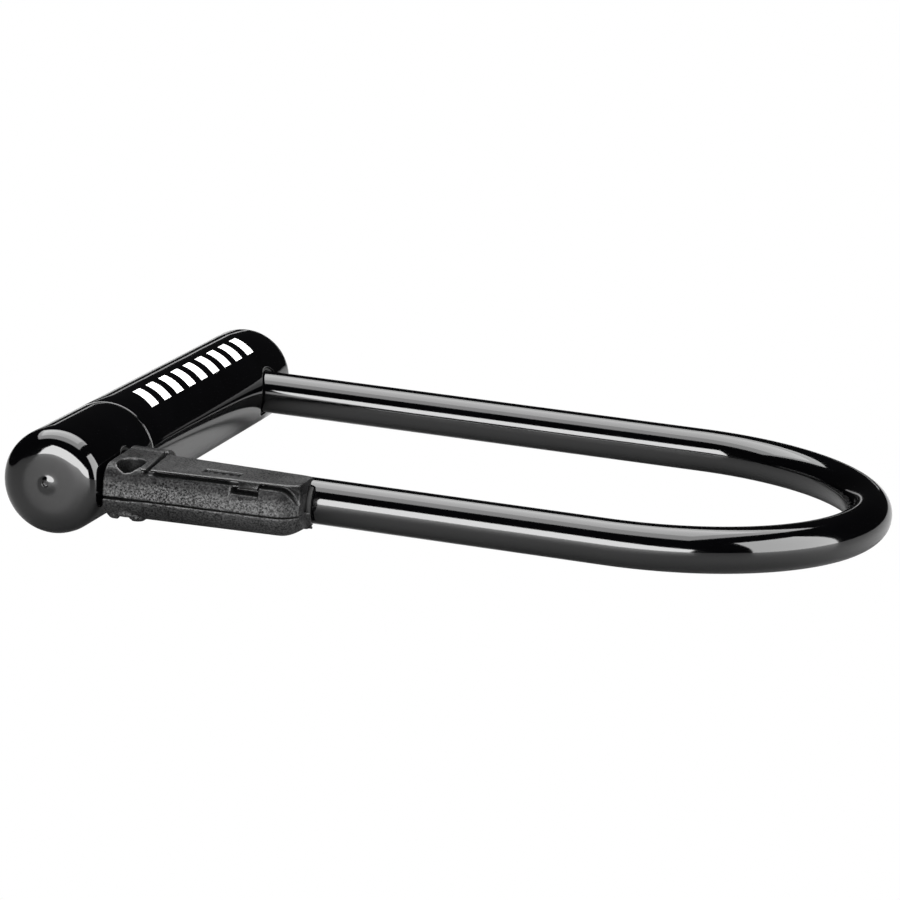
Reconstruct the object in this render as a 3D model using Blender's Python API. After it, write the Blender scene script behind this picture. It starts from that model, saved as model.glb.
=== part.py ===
"""U lock, 5 x 9 inch class: crossbar, coated shackle, key cylinder and carrier adapter.

Frame: +X runs along the shackle legs away from the crossbar, +Y runs along the crossbar,
+Z is up when the lock lies on its side.  The origin is the middle of the bounding box.
The lock is stored unlocked: shackle fully home, both deadbolts drawn in.
All lengths below are millimetres; MM turns them into metres.
"""

import math

import bmesh
import bpy
from mathutils import Vector

MM = 0.001

# Overall layout
CROSS_X = -120.0          # crossbar axis
LEG_Y = 71.0              # leg centres either side of the middle
BEND_X = 59.0             # centre of the shackle bend
# Crossbar
COVER_R = 17.5
COVER_BORE = 15.9
COVER_END = 98.15
COVER_FILLET = 6.9          # radius of the rounded rim of the domed end
DOME_R = 12.0             # the dome turns into the rim here
DOME_DROP = 0.42
NUB_HEIGHT = 0.45
SEAM_Y = -48.4            # joint between the two covers
SEAM_GAP = 0.4
TUBE_R = 15.6
TUBE_BORE = 12.2
TUBE_END = 93.0
PLUG_R = 11.9
PLUG_DEPTH = 6.0
SOCKET_R = 9.0            # leg opening in cover and tube
BUSH_R = 8.7
BUSH_BORE = 7.8
KEY_OPENING_R = 9.2
# Shackle
BAR_R = 6.5
COAT_BORE = 6.8
COAT_R = 7.5
FOOT_END = -9.0           # measured from the crossbar axis
COAT_START = 12.5
NOTCH_LO = 0.3
NOTCH_HI = 9.3
NOTCH_DEPTH = 4.4
# Lock mechanism, x measured from the crossbar axis, keyway on the back (-X)
BOLT_X = 4.8
BOLT_R = 3.6
BOLT_TIP = 63.5
TANG_LO = 1.2
TANG_HI = 4.0
PIN_ORBIT = 3.2
PIN_R = 0.95
HOUSING_R = 8.2
HOUSING_BORE = 6.6
CORE_R = 6.3
CORE_BORE = 5.4
DISC_R = 5.1
DISC_COUNT = 6
DISC_PITCH = 1.6
DISC_THICK = 1.3
# Carrier adapter clamped on the near leg, x measured from the crossbar axis
SHELL_X0 = 18.1
SHELL_X1 = 82.4
PART_Z = -1.5             # split between the two shells
SHELL_TOP = 9.0
LIP_TOP = 7.0
LIP_END_X = 69.6          # outboard lip resumes here after the notch
NOTCH_FLOOR = 2.8
LEDGE_TOP = 4.3
SHELL_BORE = 7.8
COLLAR_R = 9.7
GAP = 0.3
LINER_X0 = 66.0
LINER_R = 8.7
LINER_BORE = 7.8
SCREWS = ((24.9, -89.2, 1), (49.0, -84.2, -1), (72.0, -84.0, -1))


def clear_scene():
    for obj in list(bpy.data.objects):
        bpy.data.objects.remove(obj)


def make_material(name, colour, roughness, metallic):
    mat = bpy.data.materials.new(name)
    mat.use_nodes = True
    bsdf = mat.node_tree.nodes["Principled BSDF"]
    bsdf.inputs["Base Color"].default_value = (*colour, 1.0)
    bsdf.inputs["Roughness"].default_value = roughness
    bsdf.inputs["Metallic"].default_value = metallic
    mat.diffuse_color = (*colour, 1.0)
    mat.roughness = roughness
    mat.metallic = metallic
    return mat


def finish(name, bm, look, origin=(0.0, 0.0, 0.0), smooth=35.0):
    """Turn a bmesh in millimetres into a named object whose origin is given in millimetres."""
    bmesh.ops.remove_doubles(bm, verts=bm.verts, dist=1e-5)
    bmesh.ops.recalc_face_normals(bm, faces=bm.faces)
    for v in bm.verts:
        v.co = (v.co - Vector(origin)) * MM
    mesh = bpy.data.meshes.new(name)
    bm.to_mesh(mesh)
    bm.free()
    obj = bpy.data.objects.new(name, mesh)
    obj.location = Vector(origin) * MM
    bpy.context.scene.collection.objects.link(obj)
    if look is not None:
        mesh.materials.append(make_material(name, *look))
    mesh.shade_smooth()
    mesh.set_sharp_from_angle(angle=math.radians(smooth))
    return obj


def carve(obj, cutters, operation="DIFFERENCE", smooth=35.0):
    """Apply exact Booleans with each cutter in turn and remove the cutters."""
    for cutter in cutters:
        cutter.hide_render = True
        cutter.display_type = "WIRE"
        mod = obj.modifiers.new("carve", "BOOLEAN")
        mod.operation = operation
        mod.solver = "EXACT"
        mod.object = cutter
        bpy.context.view_layer.update()
        graph = bpy.context.evaluated_depsgraph_get()
        mesh = bpy.data.meshes.new_from_object(obj.evaluated_get(graph))
        obj.modifiers.remove(mod)
        old = obj.data
        obj.data = mesh
        mesh.name = obj.name
        bpy.data.meshes.remove(old)
        bpy.data.objects.remove(cutter)
    bm = bmesh.new()
    bm.from_mesh(obj.data)
    bmesh.ops.remove_doubles(bm, verts=bm.verts, dist=2e-6)
    bmesh.ops.dissolve_degenerate(bm, dist=1e-6, edges=bm.edges)
    bm.to_mesh(obj.data)
    bm.free()
    while len(obj.data.materials) > 1:
        obj.data.materials.pop(index=1)
    for poly in obj.data.polygons:
        poly.material_index = 0
    obj.data.shade_smooth()
    obj.data.set_sharp_from_angle(angle=math.radians(smooth))
    return obj


def to_axis(a, p, q, axis, centre):
    """Place a point given along an axis (a) and across it (p, q)."""
    if axis == "X":
        return Vector((a, p, q)) + Vector(centre)
    if axis == "Y":
        return Vector((q, a, p)) + Vector(centre)
    return Vector((p, q, a)) + Vector(centre)


def lathe(profile, axis, centre, segments):
    """Revolve a closed profile of (along, radius) points; radius 0 marks a pole."""
    bm = bmesh.new()
    rings = []
    for a, r in profile:
        if r < 1e-6:
            rings.append([bm.verts.new(to_axis(a, 0.0, 0.0, axis, centre))])
            continue
        ring = []
        for i in range(segments):
            t = 2.0 * math.pi * i / segments
            ring.append(bm.verts.new(to_axis(a, r * math.cos(t), r * math.sin(t), axis, centre)))
        rings.append(ring)
    for k in range(len(rings)):
        one = rings[k]
        two = rings[(k + 1) % len(rings)]
        if len(one) == 1 and len(two) == 1:
            continue
        for i in range(segments):
            j = (i + 1) % segments
            if len(one) == 1:
                bm.faces.new((one[0], two[i], two[j]))
            elif len(two) == 1:
                bm.faces.new((one[i], two[0], one[j]))
            else:
                bm.faces.new((one[i], two[i], two[j], one[j]))
    return bm


def disc_profile(a0, a1, r, chamfer=0.0):
    """Solid cylinder with optional chamfers."""
    if chamfer <= 0.0:
        return [(a0, 0.0), (a0, r), (a1, r), (a1, 0.0)]
    return [(a0, 0.0), (a0, r - chamfer), (a0 + chamfer, r),
            (a1 - chamfer, r), (a1, r - chamfer), (a1, 0.0)]


def rod(name, axis, centre, a0, a1, r, segments=32, look=None, chamfer=0.0, origin=(0.0, 0.0, 0.0)):
    return finish(name, lathe(disc_profile(a0, a1, r, chamfer), axis, centre, segments), look, origin)


def box(name, lo, hi, look=None, origin=(0.0, 0.0, 0.0)):
    bm = bmesh.new()
    bmesh.ops.create_cube(bm, size=1.0)
    for v in bm.verts:
        for i in range(3):
            v.co[i] = lo[i] if v.co[i] < 0.0 else hi[i]
    return finish(name, bm, look, origin)


def prism(name, outline, axis, a0, a1, look=None, origin=(0.0, 0.0, 0.0), centre=(0.0, 0.0, 0.0)):
    """Extrude a closed outline of (p, q) points along an axis."""
    bm = bmesh.new()
    low = [bm.verts.new(to_axis(a0, p, q, axis, centre)) for p, q in outline]
    high = [bm.verts.new(to_axis(a1, p, q, axis, centre)) for p, q in outline]
    bm.faces.new(low)
    bm.faces.new(list(reversed(high)))
    for i in range(len(outline)):
        j = (i + 1) % len(outline)
        bm.faces.new((low[i], high[i], high[j], low[j]))
    return finish(name, bm, look, origin)


def loft(stations):
    """Join closed rings of equal length and cap both ends."""
    bm = bmesh.new()
    rings = [[bm.verts.new(p) for p in ring] for ring in stations]
    for one, two in zip(rings, rings[1:]):
        for i in range(len(one)):
            j = (i + 1) % len(one)
            bm.faces.new((one[i], two[i], two[j], one[j]))
    bm.faces.new(rings[0])
    bm.faces.new(list(reversed(rings[-1])))
    return bm


def cover_profile(seam, end, sign):
    """Cup-shaped cover: seam lip, straight wall, rounded rim, domed end, small moulding nub."""
    pts = [(seam + sign * 0.0, COVER_R - 0.5), (seam + sign * 0.15, COVER_R - 0.15),
           (seam + sign * 0.5, COVER_R)]
    steps = 6
    for i in range(steps + 1):
        slope = 1.0 - 0.8 * i / steps
        depth = DOME_DROP + COVER_FILLET * (0.98 - math.sqrt(1.0 - slope * slope))
        pts.append((end - sign * depth, DOME_R + (slope - 0.2) * COVER_FILLET))
    pts.append((end - sign * 0.1, 9.9))
    pts.append((end, 3.4))
    pts.append((end + sign * 0.5 * NUB_HEIGHT, 2.2))
    pts.append((end + sign * NUB_HEIGHT, 1.0))
    pts.append((end + sign * NUB_HEIGHT, 0.0))
    pts.append((end - sign * 2.95, 0.0))
    pts.append((end - sign * 2.95, 13.2))
    pts.append((end - sign * 4.0, 15.0))
    pts.append((end - sign * 4.8, COVER_BORE))
    pts.append((seam, COVER_BORE))
    return pts


def hexagon(r, turn=0.0):
    return [(r * math.cos(turn + math.pi * i / 3.0), r * math.sin(turn + math.pi * i / 3.0))
            for i in range(6)]


BLACK_GLOSS = ((0.012, 0.012, 0.013), 0.16, 0.0)
BLACK_SATIN = ((0.035, 0.035, 0.036), 0.55, 0.0)
RUBBER = ((0.02, 0.02, 0.02), 0.8, 0.0)
STEEL = ((0.45, 0.45, 0.46), 0.35, 1.0)
DARK_STEEL = ((0.16, 0.16, 0.17), 0.4, 1.0)
BRASS = ((0.72, 0.52, 0.22), 0.3, 1.0)
ZINC = ((0.55, 0.56, 0.58), 0.45, 1.0)
SCREW_STEEL = ((0.12, 0.12, 0.125), 0.35, 1.0)


def socket_cutter(y, r, x0=8.0, x1=24.0):
    return rod("cut", "X", (CROSS_X, y, 0.0), x0, x1, r, 32)


def back_cutter(r, x0=-24.0, x1=-9.0):
    return rod("cut", "X", (CROSS_X, 0.0, 0.0), x0, x1, r, 32)


def build_crossbar():
    centre = (CROSS_X, 0.0, 0.0)
    tube = finish("crossbar_tube", lathe([(-TUBE_END, TUBE_BORE), (-TUBE_END, TUBE_R - 0.4),
                                          (-TUBE_END + 0.4, TUBE_R), (TUBE_END - 0.4, TUBE_R),
                                          (TUBE_END, TUBE_R - 0.4), (TUBE_END, TUBE_BORE)],
                                         "Y", centre, 40), STEEL)
    carve(tube, [socket_cutter(-LEG_Y, SOCKET_R), socket_cutter(LEG_Y, SOCKET_R), back_cutter(KEY_OPENING_R)])

    main = finish("main_cover", lathe(cover_profile(SEAM_Y + SEAM_GAP / 2, COVER_END, 1.0),
                                      "Y", centre, 40), BLACK_GLOSS)
    carve(main, [socket_cutter(LEG_Y, SOCKET_R), back_cutter(KEY_OPENING_R, x0=-24.0, x1=-13.0)])
    near = finish("near_end_cover", lathe(cover_profile(SEAM_Y - SEAM_GAP / 2, -COVER_END, -1.0),
                                          "Y", centre, 40), BLACK_GLOSS)
    carve(near, [socket_cutter(-LEG_Y, SOCKET_R)])

    for label, sign in (("near", -1.0), ("far", 1.0)):
        profile = [(sign * (TUBE_END - PLUG_DEPTH), 0.0),
                   (sign * (TUBE_END - PLUG_DEPTH), PLUG_R - 0.6),
                   (sign * (TUBE_END - PLUG_DEPTH + 0.6), PLUG_R),
                   (sign * (TUBE_END + GAP), PLUG_R),
                   (sign * (TUBE_END + GAP), TUBE_R - 2.6),
                   (sign * (TUBE_END + GAP + 1.3), TUBE_R - 3.0),
                   (sign * (TUBE_END + GAP + 1.3), 0.0)]
        finish(label + "_end_plug", lathe(profile, "Y", centre, 28), STEEL)
        bush = finish(label + "_leg_bush", lathe([(9.5, BUSH_BORE), (9.5, BUSH_R), (18.0, BUSH_R),
                                                  (18.0, BUSH_BORE)],
                                                 "X", (CROSS_X, sign * LEG_Y, 0.0), 32), RUBBER)
        carve(bush, [rod("cut", "Y", centre, sign * 40.0, sign * 100.0, 16.7, 64)], "INTERSECT")


def build_mechanism():
    centre = (CROSS_X, 0.0, 0.0)
    axis_origin = (CROSS_X, 0.0, 0.0)
    carrier = rod("bolt_housing", "Y", centre, -61.5, 61.5, TUBE_BORE - GAP, 32, ZINC, 0.8)
    carve(carrier, [rod("cut", "X", centre, -16.0, 0.9, HOUSING_R + GAP, 36),
                    box("cut", (CROSS_X + 0.2, -26.5, -7.2), (CROSS_X + 14.0, 26.5, 7.2)),
                    rod("cut", "Y", (CROSS_X + BOLT_X, 0.0, 0.0), -70.0, 70.0, BOLT_R + GAP, 32)])
    housing = finish("cylinder_housing", lathe([(-15.2, 5.7), (-15.2, HOUSING_R - 0.3),
                                                (-14.9, HOUSING_R), (-1.0, HOUSING_R),
                                                (-1.0, HOUSING_BORE), (-14.6, HOUSING_BORE),
                                                (-14.6, 5.7)], "X", centre, 32), BRASS)
    grooves = [rod("cut", "Y", (CROSS_X - 6.0, 0.0, s * 8.6), -12.0, 12.0, 1.3, 16) for s in (-1, 1)]
    carve(housing, grooves)
    grooves = [rod("cut", "Y", (CROSS_X - 6.0, 0.0, s * 8.6), -12.0, 12.0, 1.3, 16) for s in (-1, 1)]
    carve(carrier, grooves)
    for label, s in (("lower", -1.0), ("upper", 1.0)):
        rod("housing_pin_" + label, "Y", (CROSS_X - 6.0, 0.0, s * 8.6), -9.0, 9.0, 1.0, 16,
            DARK_STEEL, 0.2)

    core = finish("lock_core", lathe([(-14.3, 0.0), (-14.3, CORE_R - 0.2), (-14.1, CORE_R),
                                      (-2.4, CORE_R), (-2.4, CORE_BORE), (-13.1, CORE_BORE),
                                      (-13.1, 0.0)], "X", centre, 28), BRASS, axis_origin)
    carve(core, [box("cut", (CROSS_X - 16.0, -1.3, -3.6), (CROSS_X - 12.0, 1.3, 3.6)),
                 box("cut", (CROSS_X - 12.6, -0.9, 4.0), (CROSS_X - 3.4, 0.9, 8.0))])
    box("sidebar", (CROSS_X - 12.3, -0.6, 5.45), (CROSS_X - 3.7, 0.6, 6.42), STEEL, axis_origin)
    for i in range(DISC_COUNT):
        x0 = -12.8 + DISC_PITCH * i
        disc = rod("locking_disc_%d" % (i + 1), "X", centre, x0, x0 + DISC_THICK, DISC_R, 20,
                   BRASS, 0.0, axis_origin)
        slot = box("cut", (CROSS_X + x0 - 1.0, -1.5, -3.2), (CROSS_X + x0 + 3.0, 1.5, 3.2))
        carve(disc, [slot])

    cam = finish("core_cam", lathe([(-3.1, 0.0), (-3.1, 5.0), (-2.1, 5.0), (-2.1, 6.2),
                                    (-0.3, 6.2), (-0.3, 0.0)], "X", centre, 28),
                 STEEL, axis_origin)
    pins = []
    for s in (-1.0, 1.0):
        # Drive pins sit 45 degrees short of upright when the bolts are drawn in.
        y = -s * PIN_ORBIT * math.sin(math.radians(45.0))
        z = s * PIN_ORBIT * math.cos(math.radians(45.0))
        pins.append(rod("pin", "X", (CROSS_X, y, z), -1.2, TANG_HI + 0.5, PIN_R, 20))
    carve(cam, pins, "UNION")

    for label, s in (("near", -1.0), ("far", 1.0)):
        base = (CROSS_X + BOLT_X, 0.0, 0.0)
        bolt = finish(label + "_deadbolt", lathe([(s * 19.0, 0.0), (s * 19.0, BOLT_R),
                                                  (s * (BOLT_TIP - 0.8), BOLT_R),
                                                  (s * BOLT_TIP, BOLT_R - 0.8),
                                                  (s * BOLT_TIP, 0.0)], "Y", base, 32), STEEL)
        reach = PIN_ORBIT * math.sin(math.radians(45.0))
        lo = min(s * -5.0, s * 21.0)
        hi = max(s * -5.0, s * 21.0)
        z0, z1 = (0.35, 5.4) if s > 0 else (-5.4, -0.35)
        tang = box("tang", (CROSS_X + TANG_LO, lo, z0), (CROSS_X + TANG_HI, hi, z1))
        carve(bolt, [tang], "UNION")
        slot_y = -s * reach
        pin_z = s * reach
        low_z = min(pin_z - s * 1.35, pin_z + s * 2.1)
        high_z = max(pin_z - s * 1.35, pin_z + s * 2.1)
        slot = box("cut", (CROSS_X, slot_y - 1.25, low_z), (CROSS_X + 6.0, slot_y + 1.25, high_z))
        carve(bolt, [slot])

    finish("keyway_bezel", lathe([(-17.4, 6.7), (-17.4, 8.5), (-17.0, 8.9), (-13.4, 8.9),
                                  (-13.4, 8.5), (-15.5, 8.5), (-15.5, 7.3), (-16.9, 7.3),
                                  (-16.9, 6.7)],
                                 "X", centre, 32), BLACK_SATIN)
    dust = finish("dust_cover", lathe([(-17.2, 0.0), (-17.2, 6.2), (-17.0, 6.4), (-16.6, 6.4),
                                       (-16.6, 7.0), (-15.7, 7.0), (-15.7, 0.0)],
                                      "X", centre, 32), BLACK_SATIN, axis_origin)
    carve(dust, [box("cut", (CROSS_X - 19.0, -3.8, -1.4), (CROSS_X - 15.0, 3.8, 1.4))])


def shackle_path(start):
    """Planar path of (point, in-plane normal) from the near foot round to the far foot."""
    legs = [start, 40.0, 90.0, 130.0, BEND_X - CROSS_X]
    path = []
    for x in legs[:-1]:
        path.append(((CROSS_X + x, -LEG_Y), (0.0, -1.0)))
    steps = 20
    for i in range(steps + 1):
        t = -0.5 * math.pi + math.pi * i / steps
        direction = (math.cos(t), math.sin(t))
        path.append(((BEND_X + LEG_Y * direction[0], LEG_Y * direction[1]), direction))
    for x in reversed(legs[:-1]):
        path.append(((CROSS_X + x, LEG_Y), (0.0, 1.0)))
    return path


def swept_ring(point, normal, r, segments):
    ring = []
    for i in range(segments):
        t = 2.0 * math.pi * i / segments
        ring.append((point[0] + normal[0] * r * math.cos(t), point[1] + normal[1] * r * math.cos(t),
                     r * math.sin(t)))
    return ring


def build_shackle():
    segments = 20
    bar_segments = 16
    path = shackle_path(FOOT_END + 1.0)
    rings = [swept_ring(p, n, BAR_R, bar_segments) for p, n in path]
    tip = FOOT_END
    first = swept_ring((CROSS_X + tip, -LEG_Y), (0.0, -1.0), BAR_R - 1.0, bar_segments)
    last = swept_ring((CROSS_X + tip, LEG_Y), (0.0, 1.0), BAR_R - 1.0, bar_segments)
    bar = finish("shackle_bar", loft([first] + rings + [last]), STEEL)
    cutters = []
    for s in (-1.0, 1.0):
        lo = min(s * (LEG_Y - BAR_R - 2.0), s * (LEG_Y - BAR_R + NOTCH_DEPTH))
        hi = max(s * (LEG_Y - BAR_R - 2.0), s * (LEG_Y - BAR_R + NOTCH_DEPTH))
        cutters.append(box("cut", (CROSS_X + NOTCH_LO, lo, -9.0), (CROSS_X + NOTCH_HI, hi, 9.0)))
    carve(bar, cutters)

    path = shackle_path(COAT_START)
    bm = bmesh.new()
    outer = [[bm.verts.new(v) for v in swept_ring(p, n, COAT_R, segments)] for p, n in path]
    inner = [[bm.verts.new(v) for v in swept_ring(p, n, COAT_BORE, segments)] for p, n in path]
    for rings in (outer, inner):
        for one, two in zip(rings, rings[1:]):
            for i in range(segments):
                j = (i + 1) % segments
                bm.faces.new((one[i], two[i], two[j], one[j]))
    for k in (0, -1):
        for i in range(segments):
            j = (i + 1) % segments
            bm.faces.new((outer[k][i], outer[k][j], inner[k][j], inner[k][i]))
    finish("shackle_coating", bm, BLACK_GLOSS)


def near_face(x):
    """Outboard face of the carrier, tapering in towards its free end with a rounded corner."""
    y = -96.5 + (x - SHELL_X0) * 0.052
    corner = 8.0
    over = x - (SHELL_X1 - corner)
    if over > 0.0:
        y += corner - math.sqrt(max(corner * corner - over * over, 0.0))
    return y


def plate_edges(x):
    """Outboard and inboard edges of the carrier rail plate."""
    t = (x - 33.0) / 49.0
    return -95.8 + 4.9 * t, -72.8 - 1.9 * t


def corner_turn(x):
    """Inboard shift of the rail plate and its wall at the rounded free corner."""
    over = max(0.0, x - 78.4)
    return 4.0 - math.sqrt(max(0.0, 16.0 - over * over))


def collar_section(x):
    """Outline of the collar that wraps the leg next to the crossbar."""
    near = near_face(x)
    pts = [(near, PART_Z - 2.0), (near, 2.6), (near + 0.3, 4.6), (near + 0.9, 6.2),
           (near + 1.9, 7.5), (near + 3.3, 8.4), (near + 5.6, 8.9), (near + 9.0, SHELL_TOP)]
    for a in (105.0, 90.0, 75.0, 60.0, 45.0, 30.0, 15.0, 0.0):
        t = math.radians(a)
        pts.append((-LEG_Y + COLLAR_R * math.cos(t), COLLAR_R * math.sin(t)))
    pts.append((-LEG_Y + COLLAR_R, PART_Z - 2.0))
    return [(CROSS_X + x, y, z) for y, z in pts]


def build_carrier():
    leg = (CROSS_X, -LEG_Y, 0.0)
    # Upper shell: collar block next to the crossbar, then the rail block.
    collar = finish("carrier_upper_shell", loft([collar_section(x) for x in (SHELL_X0, 31.0)]),
                    BLACK_SATIN)
    block_x = (30.5, 50.0, 74.4, 76.0, 77.4, 78.7, 79.8, 80.8, 81.5, 82.1)
    rail = finish("rail", loft([upper_block(x) for x in block_x]), None)
    carve(collar, [rail], "UNION")
    carve(collar, [rail_plate(), end_wall()], "UNION")
    cutters = [box("cut", (CROSS_X, -120.0, -20.0), (CROSS_X + 95.0, -50.0, PART_Z)),
               rod("cut", "X", leg, 10.0, 90.0, SHELL_BORE, 32),
               arc_cutter(LINER_X0 - GAP, 95.0, LINER_R + GAP, 134.0, 200.0),
               arc_cutter(79.2, 95.0, 12.0, 141.0, 200.0),
               prism("cut", [(CROSS_X + 29.9, -71.6), (CROSS_X + 31.1, -71.6),
                             (CROSS_X + 33.9, -99.0), (CROSS_X + 32.7, -99.0)],
                     "Z", LIP_TOP, 14.0),
               prism("cut", [(-99.0, NOTCH_FLOOR), (-93.9, NOTCH_FLOOR), (-92.9, LEDGE_TOP),
                             (-92.3, LEDGE_TOP), (-92.3, 7.8), (-99.0, 7.8)],
                     "X", 60.5, LIP_END_X, centre=(CROSS_X, 0.0, 0.0)),
               running_groove()]
    carve(collar, cutters)
    holes = []
    for x, y, side in SCREWS:
        spot = (CROSS_X + x, y, 0.0)
        if side > 0:
            holes.append(rod("cut", "Z", spot, -12.0, 14.0, 2.3, 24))
            for shift in (-1.2, 1.2):
                recess = (CROSS_X + x, y + shift, 0.0)
                holes.append(rod("cut", "Z", recess, 2.2, 14.0, 4.3, 32))
        else:
            holes.append(rod("cut", "Z", spot, -12.0, 4.0, 1.8, 20))
            holes.append(prism("cut", hexagon(3.4), "Z", -4.0, 2.2, centre=spot))
    boss = rod("boss", "Z", (CROSS_X + SCREWS[0][0], SCREWS[0][1] + 0.6, 0.0), 0.0, 8.2, 5.3, 36)
    carve(collar, [boss], "UNION")
    carve(collar, holes)
    label = box("cut", (CROSS_X + 49.0, -88.2, SHELL_TOP - 0.35), (CROSS_X + 61.5, -84.6, 12.0))
    carve(collar, [label])


def upper_block(x):
    """Solid part of the rail block below the lip, outboard of the leg."""
    near = near_face(x)
    drop = max(0.0, x - 74.0)
    lip = LIP_TOP - 0.055 * drop * drop
    pts = [(near, PART_Z - 2.0), (near, 2.6 - 0.03 * drop * drop), (near + 0.3, lip - 1.4),
           (near + 0.7, lip - 0.3), (near + 1.2, lip), (-78.0, lip), (-70.9, lip),
           (-70.9, PART_Z - 2.0)]
    return [(CROSS_X + x, y, z) for y, z in pts]


def rail_plate():
    """Rail plate with a dovetail undercut, standing on a web above the lip."""
    stations = []
    for x in (30.2, 60.0, 78.4, 80.4, 81.8, 82.4):
        near, far = plate_edges(x)
        end = corner_turn(x)
        far_end = far - 0.2 * end
        pts = [(near + 1.0 + end, 8.2), (near + end, 8.7), (near + 0.3 + end, SHELL_TOP),
               (far_end - 0.5, SHELL_TOP), (far_end, SHELL_TOP - 0.5),
               (far_end, 7.9), (far - 3.0, 7.6), (far - 4.0, 5.0), (near + 5.0, 5.0),
               (near + 5.0, 7.65)]
        stations.append([(CROSS_X + x, y, z) for y, z in pts])
    return finish("plate", loft(stations), None)


def end_wall():
    """Full-height wall under the free end of the rail plate."""
    stations = []
    for x in (62.6, 78.4, 80.4, 81.6, 82.1):
        near, far = plate_edges(x)
        face = near + 0.25 + corner_turn(x)
        pts = [(face, -3.5), (face, 8.5), (far - 3.2, 8.5), (far - 3.2, -3.5)]
        stations.append([(CROSS_X + x, y, z) for y, z in pts])
    return finish("wall", loft(stations), None)


def running_groove():
    """Groove between the lip and the rail plate, dropping around the rounded end of the lip."""
    lower = [(60.5, LEDGE_TOP), (LIP_END_X, LEDGE_TOP), (LIP_END_X, LIP_TOP), (75.6, LIP_TOP),
             (77.4, 6.7), (79.0, 5.5), (80.4, 3.9), (81.4, 2.2), (84.0, 1.6)]
    upper = [(84.0, 5.2), (82.2, 5.7), (81.0, 6.9), (79.6, 7.8), (78.0, 8.15), (76.4, 8.3),
             (LIP_END_X, 8.3), (68.8, 6.3), (60.5, 6.3)]
    return prism("cut", [(z, CROSS_X + x) for x, z in lower + upper], "Y", -99.0, -87.6)


def arc_cutter(x0, x1, r, a0, a1):
    """Sector around the near leg from angle a0 to a1, measured from +Y towards +Z."""
    outline = [(-LEG_Y, 0.0)]
    steps = 10
    for i in range(steps + 1):
        t = math.radians(a0 + (a1 - a0) * i / steps)
        outline.append((-LEG_Y + r * math.cos(t), r * math.sin(t)))
    return prism("cut", outline, "X", x0, x1, centre=(CROSS_X, 0.0, 0.0))


def lower_section(x):
    """Outline of the lower shell across the leg, rounded towards its outboard bottom edge."""
    near = near_face(x)
    t = (x - SHELL_X0) / (SHELL_X1 - SHELL_X0)
    drop = max(0.0, x - 76.0)
    bottom = -9.9 + 0.7 * t + 0.06 * drop * drop
    split = PART_Z - GAP
    wide = 11.0 - 2.2 * t
    tall = split - bottom
    pts = [(near, split + 2.0)]
    for a in (0.0, 12.0, 25.0, 38.0, 52.0, 66.0, 78.0, 90.0):
        s = math.radians(a)
        pts.append((near + wide * (1.0 - math.cos(s)), split - tall * math.sin(s)))
    pts.append((-LEG_Y - 1.0, bottom))
    for a in (-75.0, -55.0, -35.0, -18.0):
        s = math.radians(a)
        r = -bottom
        pts.append((-LEG_Y + r * math.cos(s), r * math.sin(s)))
    pts.append((-LEG_Y + COLLAR_R, split))
    pts.append((-LEG_Y + COLLAR_R, split + 2.0))
    return [(CROSS_X + x, y, z) for y, z in pts]


def build_lower_shell():
    leg = (CROSS_X, -LEG_Y, 0.0)
    stations = (SHELL_X0, 50.0, 74.4, 76.5, 78.5, 80.2, 81.4, 82.1)
    lower = finish("carrier_lower_shell", loft([lower_section(x) for x in stations]), BLACK_SATIN)
    collar = rod("collar", "X", leg, 62.0, 81.2, 9.6, 44, chamfer=0.5)
    tab = arc_cutter(75.3, 83.2, 9.72, 184.0, 238.0)
    x1, y1 = SCREWS[0][0], SCREWS[0][1]
    boss = rod("boss", "Z", (CROSS_X + x1, y1, 0.0), -8.2, -3.0, 5.4, 32, chamfer=0.3)
    lobes = [rod("lobe", "Z", (CROSS_X + x1 + d, y1 - 1.0, 0.0), -9.6, -3.2, 3.25, 24, chamfer=0.8)
             for d in (-3.55, 3.25)]
    carve(lower, [collar, tab, boss] + lobes, "UNION")
    cutters = [box("cut", (CROSS_X, -120.0, PART_Z - GAP), (CROSS_X + 95.0, -50.0, 20.0)),
               rod("cut", "X", leg, 10.0, 90.0, SHELL_BORE, 32),
               rod("cut", "X", leg, LINER_X0 - GAP, 91.0, LINER_R + GAP, 40)]
    for x, y, side in SCREWS:
        spot = (CROSS_X + x, y, 0.0)
        if side > 0:
            cutters.append(rod("cut", "Z", spot, -14.0, 4.0, 2.3, 24))
            cutters.append(prism("cut", hexagon(4.5, 0.5), "Z", -14.0, -4.9, centre=spot))
        else:
            cutters.append(rod("cut", "Z", spot, -14.0, 4.0, 1.8, 20))
            cutters.append(rod("cut", "Z", spot, -14.0, -6.2, 3.2, 28))
    carve(lower, cutters)


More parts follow.
